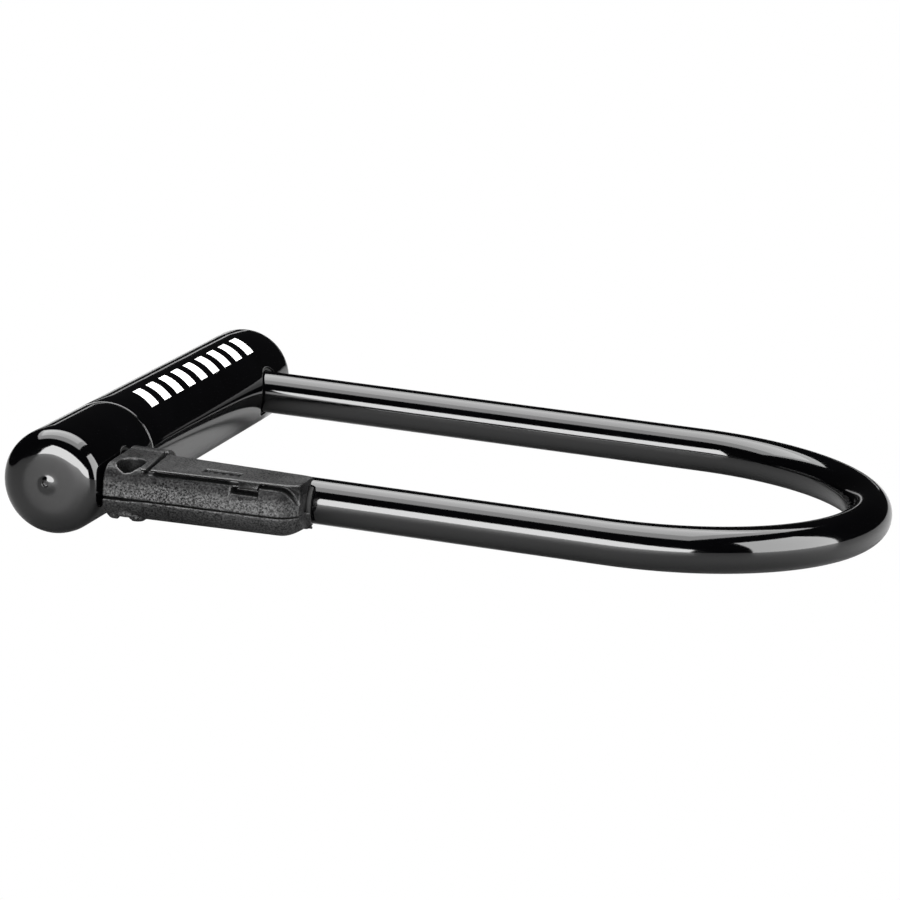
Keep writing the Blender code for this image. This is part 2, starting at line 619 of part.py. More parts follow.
def build_liner():
    """Ribbed rubber strip between the leg and the free end of the lower shell."""
    bm = bmesh.new()
    count = 14
    start = math.radians(136.0)
    end = math.radians(346.0)
    stations = [(LINER_X0, LINER_R - 0.2), (LINER_X0 + 0.3, LINER_R)]
    x = 78.6
    while x < 82.0:
        stations.append((x, LINER_R))
        stations.append((x + 0.3, LINER_R - 0.4))
        stations.append((x + 0.7, LINER_R - 0.4))
        stations.append((x + 1.0, LINER_R))
        x += 1.7
    stations.append((82.9, LINER_R))
    ends = []
    for i in range(count + 1):
        turn = math.degrees(start + (end - start) * i / count)
        ends.append(1.0 - 0.48 * min(1.0, max(0.0, (turn - 218.0) / 24.0)))
    grid_out = []
    grid_in = []
    for i in range(count + 1):
        t = start + (end - start) * i / count
        c = math.cos(t)
        s = math.sin(t)
        run = [x if x < 78.0 else 78.0 + (x - 78.0) * ends[i] for x, r in stations]
        grid_out.append([bm.verts.new((CROSS_X + x, -LEG_Y + r * c, r * s))
                         for x, (_, r) in zip(run, stations)])
        grid_in.append([bm.verts.new((CROSS_X + x, -LEG_Y + LINER_BORE * c, LINER_BORE * s))
                        for x in run])
    n = len(stations)
    for i in range(count):
        for k in range(n - 1):
            bm.faces.new((grid_out[i][k], grid_out[i + 1][k], grid_out[i + 1][k + 1],
                          grid_out[i][k + 1]))
            bm.faces.new((grid_in[i][k], grid_in[i][k + 1], grid_in[i + 1][k + 1],
                          grid_in[i + 1][k]))
        for k in (0, n - 1):
            bm.faces.new((grid_out[i][k], grid_in[i][k], grid_in[i + 1][k], grid_out[i + 1][k]))
    for i in (0, count):
        for k in range(n - 1):
            bm.faces.new((grid_out[i][k], grid_out[i][k + 1], grid_in[i][k + 1], grid_in[i][k]))
    finish("carrier_liner", bm, RUBBER)


def build_fasteners():
    for i, (x, y, side) in enumerate(SCREWS):
        centre = (CROSS_X + x, y, 0.0)
        if side > 0:
            profile = [(4.6, 0.0), (4.6, 3.1), (4.3, 3.5), (2.5, 3.5), (2.5, 2.0), (-8.0, 2.0),
                       (-8.0, 0.0)]
            socket = prism("cut", hexagon(1.6), "Z", 2.9, 6.0, centre=centre)
            nut = prism("carrier_nut_%d" % (i + 1), hexagon(4.1, 0.5), "Z", -8.0, -5.2,
                        SCREW_STEEL, centre=centre)
            bore = 2.25
        else:
            profile = [(-8.8, 0.0), (-8.8, 2.4), (-8.5, 2.75), (-6.5, 2.75), (-6.5, 1.5),
                       (2.0, 1.5), (2.0, 0.0)]
            socket = prism("cut", hexagon(1.3), "Z", -10.0, -7.4, centre=centre)
            nut = prism("carrier_nut_%d" % (i + 1), hexagon(3.1), "Z", -1.2, 1.6,
                        SCREW_STEEL, centre=centre)
            bore = 1.75
        screw = finish("carrier_screw_%d" % (i + 1), lathe(profile, "Z", centre, 20), SCREW_STEEL)
        carve(screw, [socket])
        carve(nut, [rod("cut", "Z", centre, -14.0, 8.0, bore, 20)])


def main():
    clear_scene()
    build_crossbar()
    build_mechanism()
    build_shackle()
    build_carrier()
    build_lower_shell()
    build_liner()
    build_fasteners()


main()
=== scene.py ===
"""Fine meshes, materials, lights and camera for the U lock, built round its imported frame.

The lock lies on its side with the shackle fully home.  Lengths in the helpers are millimetres
in the row frame (+X along the legs towards the bend, +Y along the crossbar, +Z up).
"""
import math

import bmesh
import bpy
from mathutils import Matrix, Vector


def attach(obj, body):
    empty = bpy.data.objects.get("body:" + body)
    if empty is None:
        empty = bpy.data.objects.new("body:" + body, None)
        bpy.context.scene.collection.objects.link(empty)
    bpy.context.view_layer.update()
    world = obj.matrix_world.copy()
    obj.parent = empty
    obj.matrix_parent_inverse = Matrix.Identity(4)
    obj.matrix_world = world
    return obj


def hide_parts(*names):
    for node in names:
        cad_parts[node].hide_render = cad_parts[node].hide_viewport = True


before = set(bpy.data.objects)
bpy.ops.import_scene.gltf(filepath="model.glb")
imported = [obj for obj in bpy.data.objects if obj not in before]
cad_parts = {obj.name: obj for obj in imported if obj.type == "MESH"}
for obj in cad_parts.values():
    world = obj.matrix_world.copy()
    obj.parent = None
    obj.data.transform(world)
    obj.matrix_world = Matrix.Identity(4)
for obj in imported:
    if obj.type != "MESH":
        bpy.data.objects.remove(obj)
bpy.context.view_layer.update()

MM = 0.001
CROSS_X = -120.0
LEG_Y = 71.0
BEND_X = 59.0
COVER_R = 17.5
COVER_BORE = 15.9
COVER_END = 98.15
NUB_HEIGHT = 0.45
SEAM_Y = -48.4
COAT_R = 7.5
SHELL_X0 = 18.1
SHELL_X1 = 82.4
PART_Z = -1.5
SHELL_TOP = 9.0
LIP_TOP = 7.0
LIP_END_X = 69.6
NOTCH_FLOOR = 2.8
SHELL_BORE = 7.8
COLLAR_R = 9.7
SCREWS = ((24.9, -89.2, 1), (49.0, -84.2, -1), (72.0, -84.0, -1))
# Camera place in metres, turns in radians, lens in millimetres
CAMERA_PLACE = (0.30747, -1.17124, 0.29531)
CAMERA_YAW = -0.2677
CAMERA_PITCH = 0.2345
CAMERA_ROLL = 0.0720
CAMERA_LENS = 147.14


# ---------------------------------------------------------------- node helpers

class Nodes:
    """Small wrapper for building a material's node tree."""

    def __init__(self, name):
        self.mat = bpy.data.materials.new(name)
        self.mat.use_nodes = True
        self.tree = self.mat.node_tree
        self.bsdf = self.tree.nodes["Principled BSDF"]
        self.coord = self.tree.nodes.new("ShaderNodeTexCoord")
        self.where = self.coord.outputs["Object"]

    def link(self, a, b):
        self.tree.links.new(a, b)

    def noise(self, scale, detail=3.0, rough=0.5, stretch=None):
        vector = self.where
        if stretch is not None:
            mapping = self.tree.nodes.new("ShaderNodeMapping")
            mapping.inputs["Scale"].default_value = stretch
            self.link(self.where, mapping.inputs["Vector"])
            vector = mapping.outputs["Vector"]
        node = self.tree.nodes.new("ShaderNodeTexNoise")
        node.inputs["Scale"].default_value = scale
        node.inputs["Detail"].default_value = detail
        node.inputs["Roughness"].default_value = rough
        self.link(vector, node.inputs["Vector"])
        return node.outputs["Fac"]

    def ramp(self, value, lo, hi, a, b):
        """Map value in lo..hi to a..b, clamped."""
        node = self.tree.nodes.new("ShaderNodeMapRange")
        node.inputs["From Min"].default_value = lo
        node.inputs["From Max"].default_value = hi
        node.inputs["To Min"].default_value = a
        node.inputs["To Max"].default_value = b
        self.link(value, node.inputs["Value"])
        return node.outputs["Result"]

    def axis(self, source, letter):
        """One component of the object position or of the surface normal."""
        node = self.tree.nodes.new("ShaderNodeSeparateXYZ")
        self.link(self.coord.outputs[source], node.inputs[0])
        return node.outputs[letter]

    def math(self, kind, a, b):
        node = self.tree.nodes.new("ShaderNodeMath")
        node.operation = kind
        for socket, value in zip(node.inputs, (a, b)):
            if isinstance(value, (int, float)):
                socket.default_value = value
            else:
                self.link(value, socket)
        return node.outputs[0]

    def mix(self, factor, a, b):
        node = self.tree.nodes.new("ShaderNodeMix")
        node.data_type = "RGBA"
        self.link(factor, node.inputs[0])
        for socket, value in ((node.inputs[6], a), (node.inputs[7], b)):
            if isinstance(value, tuple):
                socket.default_value = (*value, 1.0)
            else:
                self.link(value, socket)
        return node.outputs[2]

    def bevel(self, radius):
        node = self.tree.nodes.new("ShaderNodeBevel")
        node.samples = 6
        node.inputs["Radius"].default_value = radius
        return node.outputs["Normal"]

    def edges(self, radius, gain):
        """Mask that rises to gain on outside and inside corners; it carries edge polish and a painted
        edge highlight.
        """
        shape = self.tree.nodes.new("ShaderNodeNewGeometry")
        dot = self.tree.nodes.new("ShaderNodeVectorMath")
        dot.operation = "DOT_PRODUCT"
        self.link(self.bevel(radius), dot.inputs[0])
        self.link(shape.outputs["Normal"], dot.inputs[1])
        return self.ramp(dot.outputs["Value"], 0.995, 0.93, 0.0, gain)

    def bump(self, height, distance, strength, normal=None):
        node = self.tree.nodes.new("ShaderNodeBump")
        node.inputs["Distance"].default_value = distance
        node.inputs["Strength"].default_value = strength
        self.link(height, node.inputs["Height"])
        if normal is not None:
            self.link(normal, node.inputs["Normal"])
        return node.outputs["Normal"]

    def wire(self, socket, value):
        self.link(value, self.bsdf.inputs[socket])

    def set(self, socket, value):
        self.bsdf.inputs[socket].default_value = value


def gloss_vinyl(name, base, low, high, edge=0.0004):
    """Thick dipped vinyl: deep black gloss with faint orange peel, haze and hairline scuffs."""
    n = Nodes(name)
    cloud = n.noise(38.0, 4.0, 0.55)
    tint = tuple(1.7 * c for c in base)
    n.wire("Base Color", n.mix(n.ramp(cloud, 0.4, 0.7, 0.0, 1.0), base, tint))
    scuff = n.noise(260.0, 6.0, 0.7, (1.0, 0.12, 1.0))
    haze = n.math("ADD", n.ramp(cloud, 0.3, 0.75, low, high), n.ramp(scuff, 0.66, 0.8, 0.0, 0.14))
    n.wire("Roughness", haze)
    peel = n.noise(420.0, 2.0, 0.4)
    wave = n.noise(46.0, 1.0, 0.3)
    normal = n.bevel(edge)
    normal = n.bump(wave, 0.0004, 0.18, normal)
    normal = n.bump(peel, 0.00003, 0.22, normal)
    n.wire("Normal", normal)
    n.set("IOR", 1.5)
    return n.mat


def satin_plastic(name, base, grain=1500.0, low=0.4, high=0.56, depth=0.00009):
    """Moulded glass-filled nylon with a fine spark-eroded texture and paler rubbed patches."""
    n = Nodes(name)
    cloud = n.noise(55.0, 5.0, 0.6)
    fine = n.noise(grain, 2.0, 0.6)
    dust = n.noise(900.0, 3.0, 0.7)
    pale = tuple(1.9 * c + 0.001 for c in base)
    colour = n.mix(n.ramp(cloud, 0.42, 0.72, 0.0, 1.0), base, pale)
    speck = n.ramp(dust, 0.62, 0.78, 0.0, 0.45)
    n.wire("Base Color", n.mix(speck, colour, tuple(3.0 * c + 0.003 for c in base)))
    height = n.axis("Object", "Z")
    # Edge polish, partly a painted highlight: corners get lower roughness and a specular boost, cut
    # back below the parting plane.
    polish_and_highlight = n.math("MULTIPLY", n.edges(0.0009, 1.0), n.ramp(height, -0.0005, 0.001, 0.12, 1.0))
    matt = n.math("ADD", n.ramp(cloud, 0.3, 0.75, low, high), n.ramp(fine, 0.3, 0.7, -0.04, 0.05))
    n.wire("Roughness", n.math("SUBTRACT", matt, n.math("MULTIPLY", polish_and_highlight, 0.18)))
    gleam = n.math("ADD", n.ramp(n.noise(1.05 * grain, 4.0, 0.7), 0.4, 0.62, 0.04, 0.58),
                   n.ramp(cloud, 0.35, 0.7, -0.04, 0.06))
    # Fixed shading held in the material: specular level falls with height above the parting
    # plane and is set apart for faces that look up, so it suits this lighting only.
    top = n.math("MULTIPLY", n.ramp(n.axis("Normal", "Z"), 0.5, 0.95, 0.0, 0.9),
                 n.ramp(n.axis("Object", "X"), -0.096, -0.084, 0.35, 1.0))
    side = n.math("ADD", n.ramp(height, 0.0, 0.0045, 1.55, 0.3),
                  n.ramp(height, -0.0019, -0.0015, -0.5, 0.0))
    shade = n.math("ADD", side, top)
    # The corner mask also adds a painted edge highlight to the specular level.
    n.wire("Specular IOR Level", n.math("ADD", n.math("MULTIPLY", gleam, shade),
                                        n.math("MULTIPLY", polish_and_highlight, 0.8)))
    normal = n.bevel(0.0003)
    normal = n.bump(fine, depth, 0.55, normal)
    normal = n.bump(n.noise(190.0, 2.0, 0.5), 0.0002, 0.12, normal)
    n.wire("Normal", normal)
    n.set("IOR", 1.52)
    return n.mat


def rubber(name, base):
    """Soft matt rubber with a bloom of grey and a slight mould grain."""
    n = Nodes(name)
    cloud = n.noise(120.0, 5.0, 0.6)
    fine = n.noise(2200.0, 2.0, 0.6)
    n.wire("Base Color", n.mix(n.ramp(cloud, 0.4, 0.75, 0.0, 1.0), base,
                               tuple(2.2 * c + 0.001 for c in base)))
    n.wire("Roughness", n.ramp(cloud, 0.3, 0.7, 0.62, 0.82))
    n.wire("Normal", n.bump(fine, 0.00005, 0.5, n.bevel(0.0002)))
    return n.mat


def metal(name, base, low, high, stretch, wear=0.12):
    """Turned or drawn metal: directional tool marks with brighter streaks, and darker stains."""
    n = Nodes(name)
    marks = n.noise(900.0, 4.0, 0.65, stretch)
    stain = n.noise(90.0, 5.0, 0.6)
    dark = tuple((1.0 - 2.4 * wear) * c for c in base)
    colour = n.mix(n.ramp(stain, 0.35, 0.75, 0.0, 1.0), base, dark)
    n.wire("Base Color", n.mix(n.ramp(marks, 0.45, 0.7, 0.0, 0.35), colour,
                               tuple(min(1.0, 1.25 * c + 0.03) for c in base)))
    n.wire("Roughness", n.math("ADD", n.ramp(stain, 0.3, 0.75, low, high),
                               n.ramp(marks, 0.3, 0.7, -0.06, 0.08)))
    n.set("Metallic", 1.0)
    n.wire("Normal", n.bump(marks, 0.00004, 0.4, n.bevel(0.00025)))
    return n.mat


def printed_ink(name):
    """Screen-printed white ink with pinholes and a slightly rubbed surface."""
    n = Nodes(name)
    cloud = n.noise(300.0, 5.0, 0.65)
    holes = n.noise(1800.0, 3.0, 0.7)
    colour = n.mix(n.ramp(cloud, 0.35, 0.75, 0.0, 1.0), (0.78, 0.78, 0.77), (0.62, 0.62, 0.61))
    n.wire("Base Color", n.mix(n.ramp(holes, 0.7, 0.78, 0.0, 0.8), colour, (0.12, 0.12, 0.12)))
    n.wire("Roughness", n.ramp(cloud, 0.3, 0.7, 0.28, 0.45))
    n.wire("Normal", n.bump(holes, 0.00003, 0.3))
    return n.mat


VINYL_COVER = gloss_vinyl("vinyl_cover", (0.0004, 0.0004, 0.0005), 0.045, 0.08)
VINYL_COAT = gloss_vinyl("vinyl_coat", (0.0003, 0.0003, 0.0004), 0.05, 0.09)
SATIN = satin_plastic("moulded_nylon", (0.003, 0.003, 0.0031))
SATIN_SMALL = satin_plastic("moulded_trim", (0.003, 0.003, 0.0031), 2200.0, 0.3, 0.42, 0.00004)
RUBBER = rubber("soft_rubber", (0.003, 0.003, 0.003))
STEEL = metal("hardened_steel", (0.44, 0.44, 0.45), 0.24, 0.4, (1.0, 0.15, 1.0))
DARK_STEEL = metal("black_oxide_steel", (0.07, 0.07, 0.074), 0.3, 0.45, (1.0, 1.0, 0.2))
BRASS = metal("turned_brass", (0.7, 0.5, 0.2), 0.22, 0.36, (0.2, 1.0, 1.0))
ZINC = metal("die_cast_zinc", (0.5, 0.51, 0.53), 0.38, 0.52, (1.0, 1.0, 1.0))
INK = printed_ink("white_ink")


# ---------------------------------------------------------------- mesh helpers

def to_object(name, bm, smooth=40.0):
    """Turn a bmesh in millimetres into an object in metres."""
    bmesh.ops.remove_doubles(bm, verts=bm.verts, dist=1e-5)
    bmesh.ops.recalc_face_normals(bm, faces=bm.faces)
    bmesh.ops.scale(bm, vec=(MM, MM, MM), verts=bm.verts)
    mesh = bpy.data.meshes.new(name)
    bm.to_mesh(mesh)
    bm.free()
    obj = bpy.data.objects.new(name, mesh)
    bpy.context.scene.collection.objects.link(obj)
    soften(obj, smooth)
    return obj


def soften(obj, angle):
    obj.data.shade_smooth()
    obj.data.set_sharp_from_angle(angle=math.radians(angle))


def settle(obj):
    """Apply the object's modifiers to its mesh."""
    bpy.context.view_layer.update()
    graph = bpy.context.evaluated_depsgraph_get()
    mesh = bpy.data.meshes.new_from_object(obj.evaluated_get(graph))
    old = obj.data
    obj.modifiers.clear()
    obj.data = mesh
    mesh.name = obj.name
    bpy.data.meshes.remove(old)


def carve(obj, cutters, operation="DIFFERENCE", smooth=40.0):
    for cutter in cutters:
        mod = obj.modifiers.new("carve", "BOOLEAN")
        mod.operation = operation
        mod.solver = "EXACT"
        mod.object = cutter
        settle(obj)
        bpy.data.objects.remove(cutter)
        bm = bmesh.new()
        bm.from_mesh(obj.data)
        bmesh.ops.remove_doubles(bm, verts=bm.verts, dist=2e-6)
        bmesh.ops.dissolve_degenerate(bm, dist=1e-6, edges=bm.edges)
        bm.to_mesh(obj.data)
        bm.free()
    soften(obj, smooth)
    return obj


def to_axis(a, p, q, axis, centre):
    if axis == "X":
        return Vector((a, p, q)) + Vector(centre)
    if axis == "Y":
        return Vector((q, a, p)) + Vector(centre)
    return Vector((p, q, a)) + Vector(centre)


def lathe(profile, axis, centre, segments):
    """Revolve a closed profile of (along, radius) points; radius 0 marks a pole."""
    bm = bmesh.new()
    rings = []
    for a, r in profile:
        if r < 1e-6:
            rings.append([bm.verts.new(to_axis(a, 0.0, 0.0, axis, centre))])
            continue
        turn = [2.0 * math.pi * i / segments for i in range(segments)]
        rings.append([bm.verts.new(to_axis(a, r * math.cos(t), r * math.sin(t), axis, centre))
                      for t in turn])
    for k in range(len(rings)):
        one = rings[k]
        two = rings[(k + 1) % len(rings)]
        if len(one) == 1 and len(two) == 1:
            continue
        for i in range(segments):
            j = (i + 1) % segments
            if len(one) == 1:
                bm.faces.new((one[0], two[i], two[j]))
            elif len(two) == 1:
                bm.faces.new((one[i], two[0], one[j]))
            else:
                bm.faces.new((one[i], two[i], two[j], one[j]))
    return bm


def rod(axis, centre, a0, a1, r, segments=64, chamfer=0.0):
    if chamfer > 0.0:
        profile = [(a0, 0.0), (a0, r - chamfer), (a0 + chamfer, r), (a1 - chamfer, r),
                   (a1, r - chamfer), (a1, 0.0)]
    else:
        profile = [(a0, 0.0), (a0, r), (a1, r), (a1, 0.0)]
    return to_object("rod", lathe(profile, axis, centre, segments))


def box(lo, hi):
    bm = bmesh.new()
    bmesh.ops.create_cube(bm, size=1.0)
    for v in bm.verts:
        for i in range(3):
            v.co[i] = lo[i] if v.co[i] < 0.0 else hi[i]
    return to_object("box", bm)


def prism(outline, axis, a0, a1, centre=(0.0, 0.0, 0.0)):
    bm = bmesh.new()
    low = [bm.verts.new(to_axis(a0, p, q, axis, centre)) for p, q in outline]
    high = [bm.verts.new(to_axis(a1, p, q, axis, centre)) for p, q in outline]
    bm.faces.new(low)
    bm.faces.new(list(reversed(high)))
    for i in range(len(outline)):
        j = (i + 1) % len(outline)
        bm.faces.new((low[i], high[i], high[j], low[j]))
    return to_object("prism", bm)


def loft(stations):
    bm = bmesh.new()
    rings = [[bm.verts.new(p) for p in ring] for ring in stations]
    for one, two in zip(rings, rings[1:]):
        for i in range(len(one)):
            j = (i + 1) % len(one)
            bm.faces.new((one[i], two[i], two[j], one[j]))
    bm.faces.new(rings[0])
    bm.faces.new(list(reversed(rings[-1])))
    return to_object("loft", bm)


def mould(obj, voxel, passes, keep):
    """Round every edge the way a moulding does: fine remesh, a little smoothing, then thinning."""
    mod = obj.modifiers.new("remesh", "REMESH")
    mod.mode = "VOXEL"
    mod.voxel_size = voxel * MM
    mod = obj.modifiers.new("smooth", "SMOOTH")
    mod.factor = 0.5
    mod.iterations = passes
    if keep < 1.0:
        mod = obj.modifiers.new("thin", "DECIMATE")
        mod.ratio = keep
    settle(obj)
    obj.data.shade_smooth()


def dress(obj, name, material, body, nodes):
    """Name, paint and attach a finished piece."""
    obj.name = name
    obj.data.name = name
    obj.data.materials.clear()
    obj.data.materials.append(material)
    for poly in obj.data.polygons:
        poly.material_index = 0
    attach(obj, body)
    if nodes:
        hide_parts(*nodes)
    return obj


def arc(cx, cy, r, a0, a1, steps):
    pts = []
    for i in range(steps + 1):
        t = math.radians(a0 + (a1 - a0) * i / steps)
        pts.append((cx + r * math.cos(t), cy + r * math.sin(t)))
    return pts


# ---------------------------------------------------------------- crossbar covers

def cover_outline(seam, sign):
    """Cup-shaped vinyl cover: rolled seam lip, straight wall, full round end and a gate nub."""
    end = sign * COVER_END
    pts = [(seam, COVER_BORE), (seam, COVER_R - 0.62)]
    for a in range(0, 91, 15):
        t = math.radians(a)
        pts.append((seam + sign * 0.55 * (1.0 - math.cos(t)), COVER_R - 0.6 + 0.6 * math.sin(t)))
    span = abs(end - seam)
    for i in range(1, 12):
        pts.append((seam + sign * (0.55 + (span - 8.0) * i / 12.0), COVER_R))
    for i in range(23):
        s = 1.0 - 0.8 * i / 22
        pts.append((end - sign * (0.42 + 6.875 * (0.98 - math.sqrt(1.0 - s * s))),
                    12.0 + (s - 0.2) * 6.875))
    for r, drop in ((11.4, 0.31), (10.8, 0.21), (10.2, 0.13), (9.6, 0.08), (9.0, 0.05), (8.0, 0.03),
                    (6.0, 0.01), (4.6, 0.0), (3.8, 0.0)):
        pts.append((end - sign * drop, r))
    for r, rise in ((3.4, 0.02), (3.0, 0.09), (2.6, 0.24), (2.2, 0.44), (1.8, 0.64), (1.4, 0.8),
                    (1.0, 0.91), (0.5, 0.98), (0.0, 1.0)):
        pts.append((end + sign * rise * NUB_HEIGHT, r))
    pts.append((end - sign * 2.95, 0.0))
    pts.append((end - sign * 2.95, 13.2))
    pts.append((end - sign * 4.0, 15.0))
    pts.append((end - sign * 4.8, COVER_BORE))
    return pts


def build_covers():
    centre = (CROSS_X, 0.0, 0.0)
    main = to_object("main", lathe(cover_outline(SEAM_Y + 0.2, 1.0), "Y", centre, 128), 32.0)
    carve(main, [rod("X", (CROSS_X, LEG_Y, 0.0), 8.0, 24.0, 9.0, 96),
                 rod("X", centre, -24.0, -13.0, 9.2, 96)], smooth=32.0)
    dress(main, "main_cover_skin", VINYL_COVER, "crossbar", ["main_cover"])
    near = to_object("near", lathe(cover_outline(SEAM_Y - 0.2, -1.0), "Y", centre, 128), 32.0)
    carve(near, [rod("X", (CROSS_X, -LEG_Y, 0.0), 8.0, 24.0, 9.0, 96),
                 rod("Y", (CROSS_X - 0.9, 0.0, 0.3), -99.0, -97.3, 1.05, 40)], smooth=32.0)
    dress(near, "near_end_cover_skin", VINYL_COVER, "crossbar", ["near_end_cover"])


def build_graphic():
    """Plain slanted bars printed along the upper side of the main cover."""
    bm = bmesh.new()
    count = 9
    y0, y1 = -33.0, 76.0
    pitch = (y1 - y0) / count
    for k in range(count):
        wide = 6.4
        start = y0 + k * pitch
        rows = []
        for i in range(13):
            a = math.radians(54.0 + 31.0 * i / 12)
            slant = 4.2 * i / 12
            row = []
            for j in range(2):
                y = start + slant + wide * j
                row.append((a, y))
            rows.append(row)
        layers = []
        for r in (COVER_R + 0.03, COVER_R - 0.05):
            layers.append([[bm.verts.new((CROSS_X + r * math.cos(a), y, r * math.sin(a)))
                            for a, y in row] for row in rows])
        top, low = layers
        for i in range(12):
            bm.faces.new((top[i][0], top[i][1], top[i + 1][1], top[i + 1][0]))
            bm.faces.new((low[i][0], low[i + 1][0], low[i + 1][1], low[i][1]))
            bm.faces.new((top[i][0], top[i + 1][0], low[i + 1][0], low[i][0]))
            bm.faces.new((top[i][1], low[i][1], low[i + 1][1], top[i + 1][1]))
        bm.faces.new((top[0][0], low[0][0], low[0][1], top[0][1]))
        bm.faces.new((top[12][0], top[12][1], low[12][1], low[12][0]))
    dress(to_object("graphic", bm), "main_cover_graphic", INK, "crossbar", [])


def build_small_trim():
    centre = (CROSS_X, 0.0, 0.0)
    bezel = to_object("bezel", lathe([(-17.25, 6.7), (-17.42, 6.85), (-17.45, 7.2), (-17.45, 8.0),
                                      (-17.4, 8.45), (-17.2, 8.75), (-16.9, 8.9), (-13.4, 8.9),
                                      (-13.4, 8.5), (-15.5, 8.5), (-15.5, 7.3), (-16.9, 7.3),
                                      (-16.9, 6.7)], "X", centre, 96))
    dress(bezel, "keyway_bezel_ring", SATIN_SMALL, "crossbar", ["keyway_bezel"])
    dust = to_object("dust", lathe([(-17.0, 0.0), (-17.05, 2.5), (-17.2, 5.4), (-17.2, 6.1),
                                    (-17.05, 6.38), (-16.6, 6.4), (-16.6, 7.0), (-15.7, 7.0),
                                    (-15.7, 0.0)], "X", centre, 96))
    slot = [(-2.4, -1.4), (2.4, -1.4)] + arc(2.4, 0.0, 1.4, -75, 75, 8)
    slot += [(2.4, 1.4), (-2.4, 1.4)] + arc(-2.4, 0.0, 1.4, 105, 255, 8)
    carve(dust, [prism(slot, "X", -19.0, -15.0, centre)])
    dress(dust, "dust_cover_disc", SATIN_SMALL, "dust_shutter", ["dust_cover"])
    for label, s in (("near", -1.0), ("far", 1.0)):
        bush = to_object("bush", lathe([(9.5, 7.8), (9.5, 8.7), (18.0, 8.7), (18.0, 8.25),
                                        (17.6, 7.9), (17.3, 7.8)],
                                       "X", (CROSS_X, s * LEG_Y, 0.0), 96))
        carve(bush, [rod("Y", centre, min(s * 40.0, s * 100.0), max(s * 40.0, s * 100.0),
                         16.9, 160)], "INTERSECT")
        dress(bush, label + "_leg_bush_ring", RUBBER, "crossbar", [label + "_leg_bush"])


# ---------------------------------------------------------------- shackle

def build_coating():
    segments = 96
    path = []
    start = 12.5
    legs = [start, start + 0.25, start + 0.7] + [20.0 + 8.0 * i for i in range(20)]
    legs = [x for x in legs if x < BEND_X - CROSS_X - 2.0]
    for x in legs:
        path.append(((CROSS_X + x, -LEG_Y), (0.0, -1.0)))
    steps = 96
    for i in range(steps + 1):
        t = -0.5 * math.pi + math.pi * i / steps
        d = (math.cos(t), math.sin(t))
        path.append(((BEND_X + LEG_Y * d[0], LEG_Y * d[1]), d))
    for x in reversed(legs):
        path.append(((CROSS_X + x, LEG_Y), (0.0, 1.0)))
    bm = bmesh.new()
    shells = []
    last = len(path) - 1
    for base in (COAT_R, 6.8):
        rings = []
        for k, (p, n) in enumerate(path):
            r = base
            if base == COAT_R and k in (0, last):
                r -= 0.4
            if base == COAT_R and k in (1, last - 1):
                r -= 0.12
            ring = []
            for i in range(segments):
                t = 2.0 * math.pi * i / segments
                ring.append(bm.verts.new((p[0] + n[0] * r * math.cos(t),
                                          p[1] + n[1] * r * math.cos(t), r * math.sin(t))))
            rings.append(ring)
        shells.append(rings)
        for one, two in zip(rings, rings[1:]):
            for i in range(segments):
                j = (i + 1) % segments
                bm.faces.new((one[i], two[i], two[j], one[j]))
    outer, inner = shells
    for k in (0, -1):
        for i in range(segments):
            j = (i + 1) % segments
            bm.faces.new((outer[k][i], outer[k][j], inner[k][j], inner[k][i]))
    dress(to_object("coat", bm), "shackle_coating_skin", VINYL_COAT, "shackle",
          ["shackle_coating"])


# ---------------------------------------------------------------- carrier adapter

def near_face(x):
    y = -96.5 + (x - SHELL_X0) * 0.052
    corner = 8.0
    over = x - (SHELL_X1 - corner)
    if over > 0.0:
        y += corner - math.sqrt(max(corner * corner - over * over, 0.0))
    return y


def plate_edges(x):
    t = (x - 33.0) / 49.0
    return -95.8 + 4.9 * t, -72.8 - 1.9 * t


def corner_turn(x):
    over = max(0.0, x - 78.4)
    return 4.0 - math.sqrt(max(0.0, 16.0 - over * over))


def collar_section(x):
    near = near_face(x)
    pts = [(near, PART_Z - 2.0), (near, 2.6), (near + 0.3, 4.6), (near + 0.9, 6.2),
           (near + 1.9, 7.5), (near + 3.3, 8.4), (near + 5.6, 8.9), (near + 9.0, SHELL_TOP)]
    for a in range(105, -1, -5):
        t = math.radians(a)
        pts.append((-LEG_Y + COLLAR_R * math.cos(t), COLLAR_R * math.sin(t)))
    pts.append((-LEG_Y + COLLAR_R, PART_Z - 2.0))
    return [(CROSS_X + x, y, z) for y, z in pts]


def upper_block(x):
    near = near_face(x)
    drop = max(0.0, x - 74.0)
    lip = LIP_TOP - 0.055 * drop * drop
    pts = [(near, PART_Z - 2.0), (near, 1.0), (near + 0.12, 2.4), (near + 0.4, 4.0),
           (near + 0.75, lip - 1.4), (near + 1.05, lip - 0.4), (near + 1.4, lip), (-78.0, lip),
           (-70.9, lip), (-70.9, PART_Z - 2.0)]
    return [(CROSS_X + x, y, z) for y, z in pts]


def rail_plate():
    stations = []
    for x in (30.2, 60.0, 78.0, 80.0, 81.4, 82.1, 82.4):
        near, far = plate_edges(x)
        end = corner_turn(x)
        pts = [(near + 1.0 + end, 8.2), (near + end, 8.8), (near + 0.15 + end, SHELL_TOP),
               (far - 0.5 - end * 0.3, SHELL_TOP), (far - end * 0.3, SHELL_TOP - 0.5),
               (far - end * 0.3, 7.9), (far - 3.0, 7.6), (far - 4.0, 5.0), (near + 5.0, 5.0),
               (near + 5.0, 7.65)]
        stations.append([(CROSS_X + x, y, z) for y, z in pts])
    return loft(stations)


def end_wall():
    stations = []
    for x in (62.6, 70.0, 78.4, 79.5, 80.5, 81.3, 82.1):
        near, far = plate_edges(x)
        face = near + 0.25 + corner_turn(x)
        pts = [(face, -3.5), (face, 8.5), (far - 3.2, 8.5), (far - 3.2, -3.5)]
        stations.append([(CROSS_X + x, y, z) for y, z in pts])
    return loft(stations)


